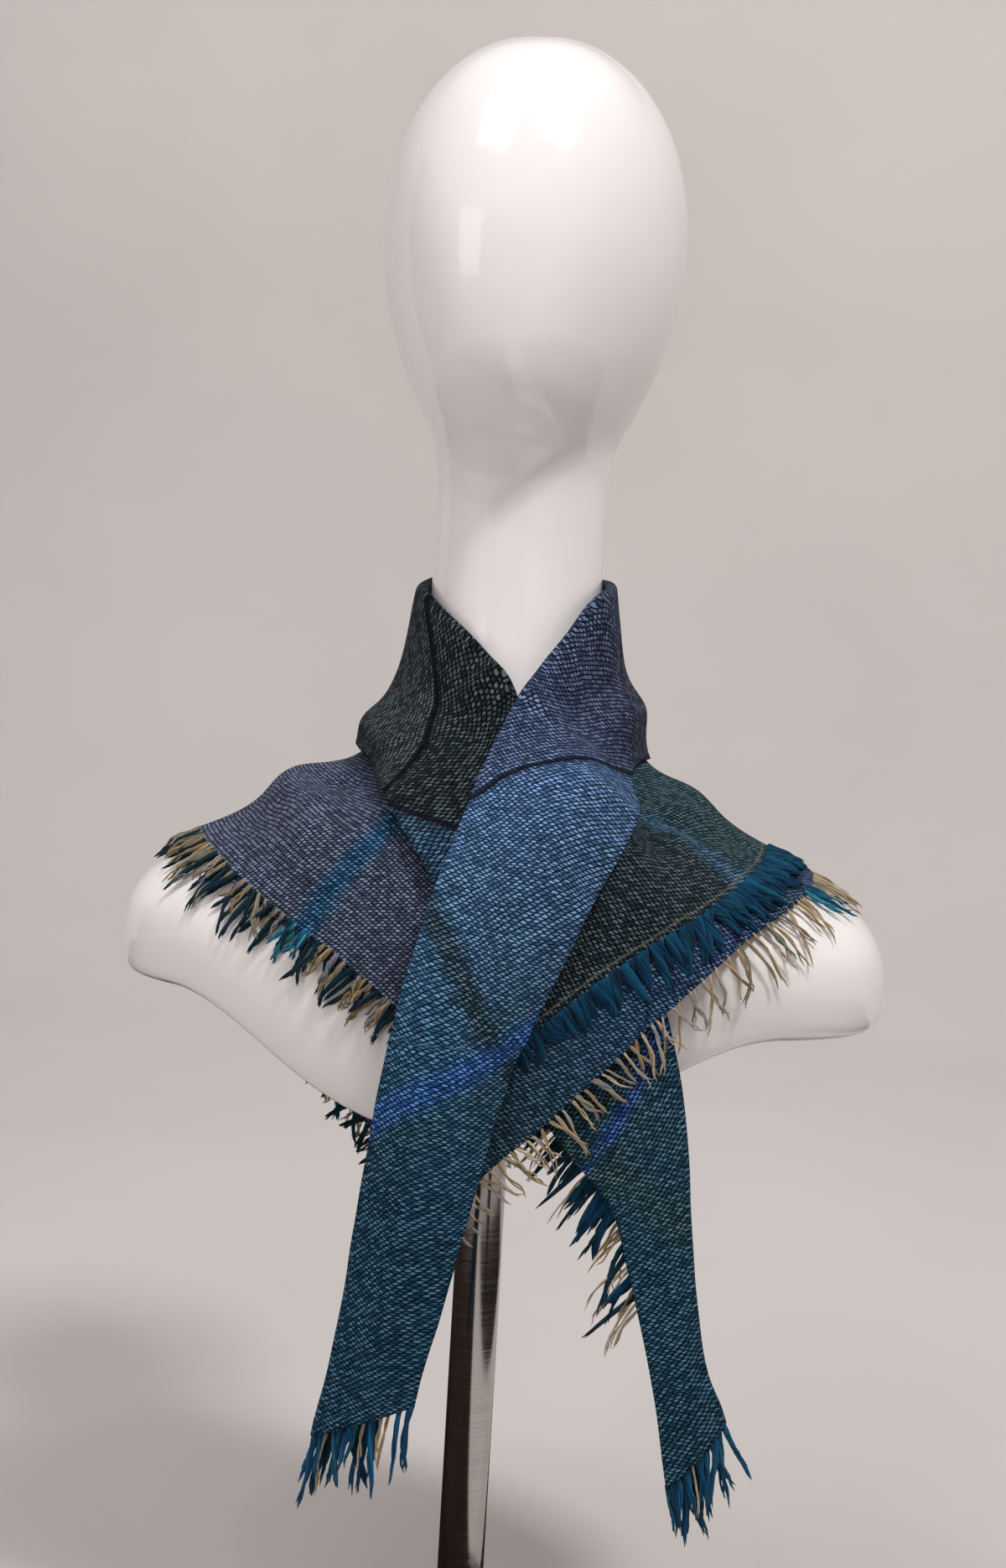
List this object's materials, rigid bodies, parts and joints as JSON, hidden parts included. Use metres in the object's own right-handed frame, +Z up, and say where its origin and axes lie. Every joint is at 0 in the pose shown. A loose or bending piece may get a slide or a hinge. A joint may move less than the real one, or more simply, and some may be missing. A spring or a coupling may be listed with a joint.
{
  "type": "square scarf on bust stand",
  "caption": "Fringed square wool scarf folded on the diagonal, worn with a turned-over collar and crossed ends on a head-and-shoulders bust on a pole and round base.",
  "frame": {"origin": "centre of the base plate's underside, on the pole's axis", "axes": "+Z up along the pole, -Y the way the bust faces, +X to the right as seen from the front"},
  "size_m": [0.407, 0.2638, 0.894],
  "materials": {
    "bust": "gloss white",
    "metal": "bright",
    "cloth": "woven wool plaid in blue and teal",
    "fringe": "loose wool yarn"
  },
  "bodies": {
    "root": {"bust": "bust", "pole": "metal", "base_plate": "metal", "cape_inner": "cloth", "cape_outer": "cloth", "under_end": "cloth", "collar": "cloth", "front_end": "cloth", "fringe_left_inner": "fringe", "fringe_left_outer": "fringe", "fringe_back_inner": "fringe", "fringe_back_outer": "fringe", "fringe_right_inner": "fringe", "fringe_right_outer": "fringe", "fringe_under_end_side": "fringe", "fringe_under_tip": "fringe", "fringe_under_tip_back": "fringe", "fringe_front_tip": "fringe", "fringe_front_tip_back": "fringe"}
  },
  "joints": []
}
